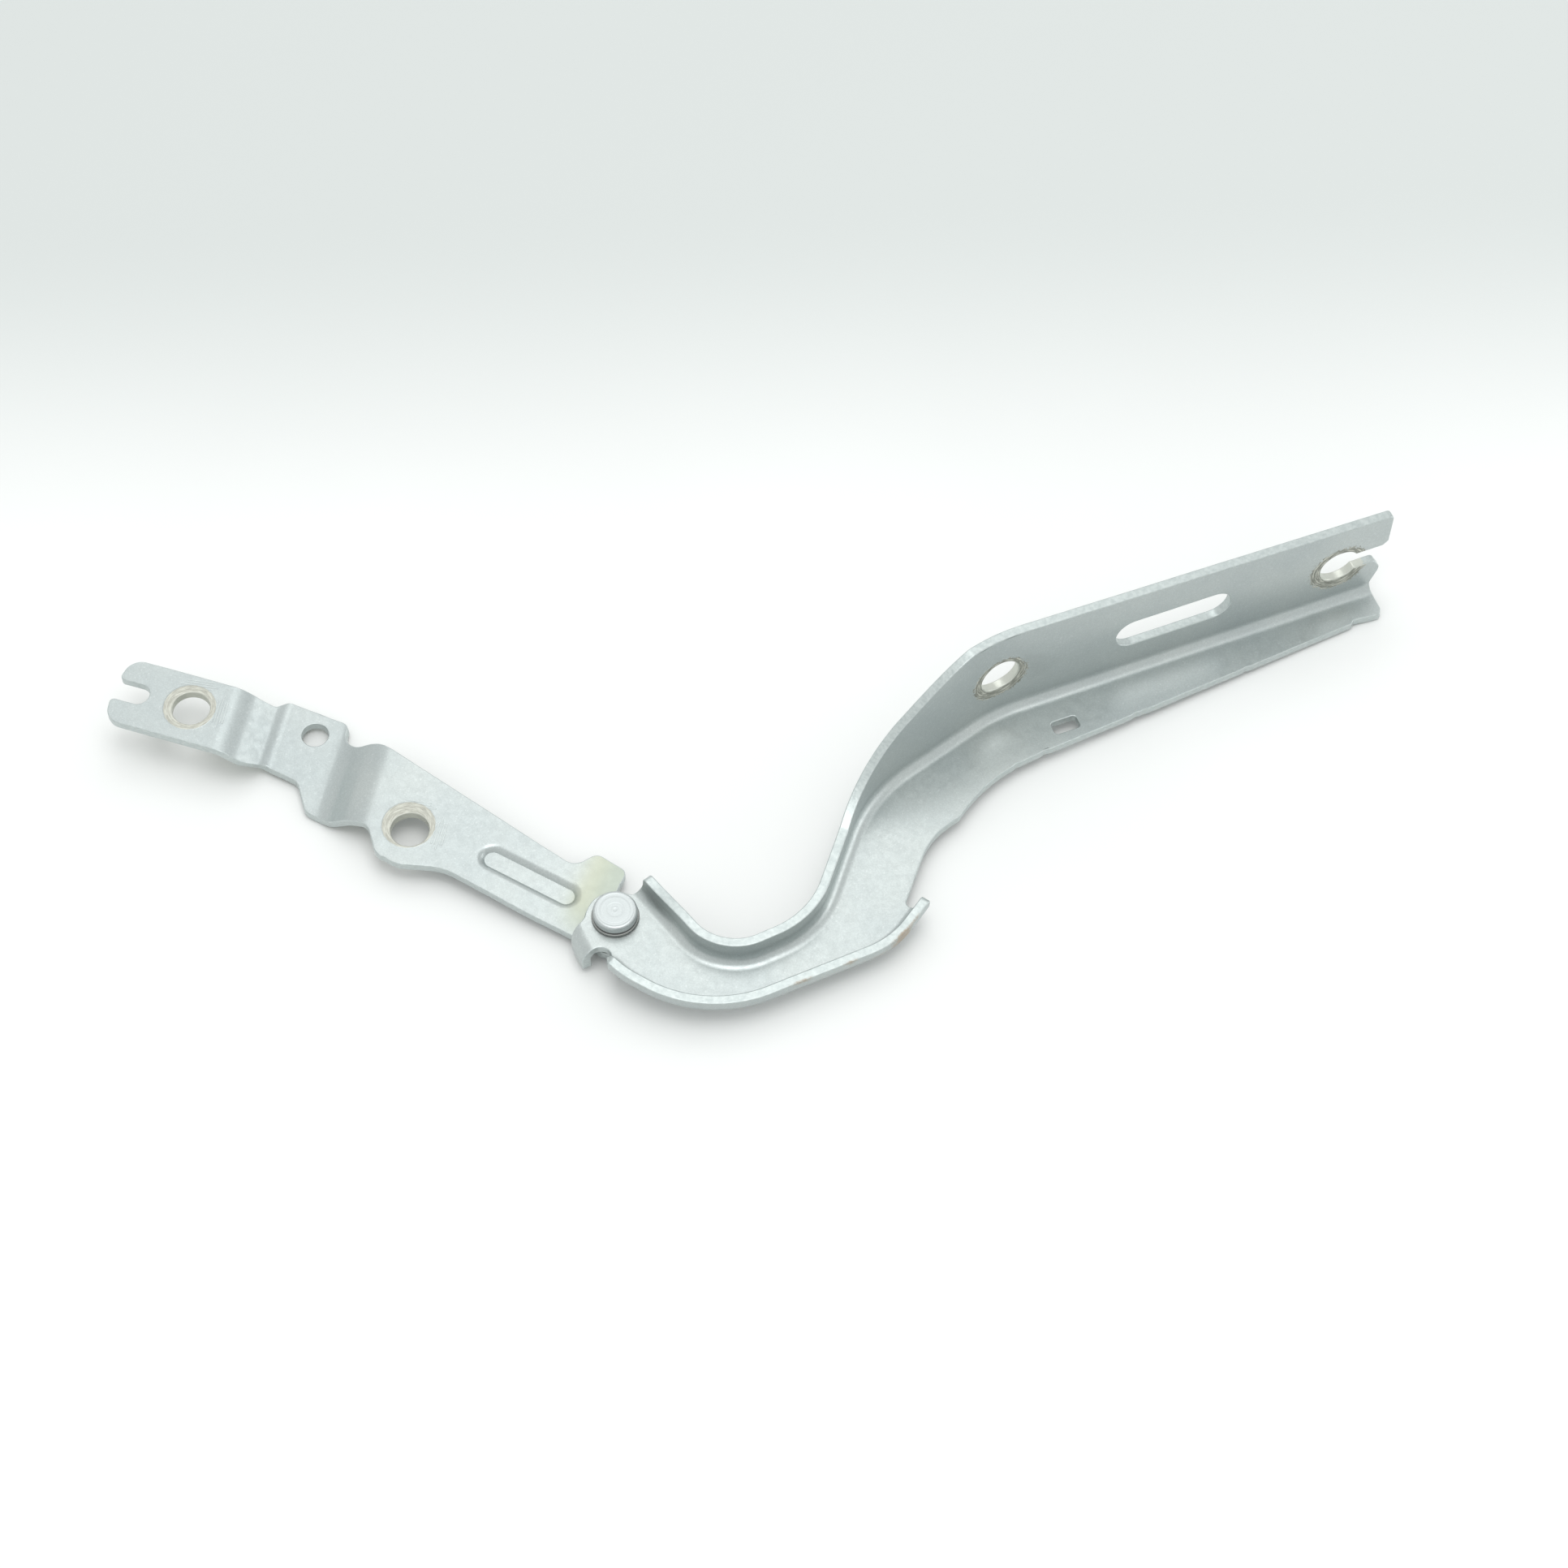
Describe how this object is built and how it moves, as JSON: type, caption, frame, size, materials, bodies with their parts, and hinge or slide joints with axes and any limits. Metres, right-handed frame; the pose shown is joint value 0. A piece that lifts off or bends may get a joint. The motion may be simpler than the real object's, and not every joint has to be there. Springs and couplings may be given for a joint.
{
  "type": "bonnet hinge",
  "caption": "Stamped gooseneck hinge of a car bonnet: a joggled body bracket and a flanged bonnet arm turning on a riveted pivot.",
  "frame": {"origin": "middle of the base of the bounding box, with the hinge lying on its low bracket flat", "axes": "+Z is the pivot axis and points to the side the rivet head is on, +X runs from the fork end of the bracket towards the arm, +Y towards the bonnet flange"},
  "size_m": [0.3308, 0.2468, 0.0562],
  "materials": {
    "silver_paint": "silver-blue metallic primer paint with fine sparkle, worn to bright metal round the bolt holes",
    "rivet_paint": "the same paint over turned steel with faint concentric marks",
    "bush_bronze": "dark bronze bearing bush, dull",
    "washer_steel": "dull grey steel washer"
  },
  "bodies": {
    "bracket": {"body_bracket": "silver_paint", "pivot_collar": "rivet_paint", "pivot_rivet": "rivet_paint", "thrust_washer": "washer_steel"},
    "arm": {"bonnet_arm": "silver_paint", "pivot_bush": "bush_bronze"}
  },
  "joints": [
    {"name": "bonnet_swing", "type": "hinge", "parent": "bracket", "child": "arm", "pos_m": [0.01458, -0.10477, 0.0152], "axis": [0, 0, 1], "range_deg": [0, 62]}
  ]
}
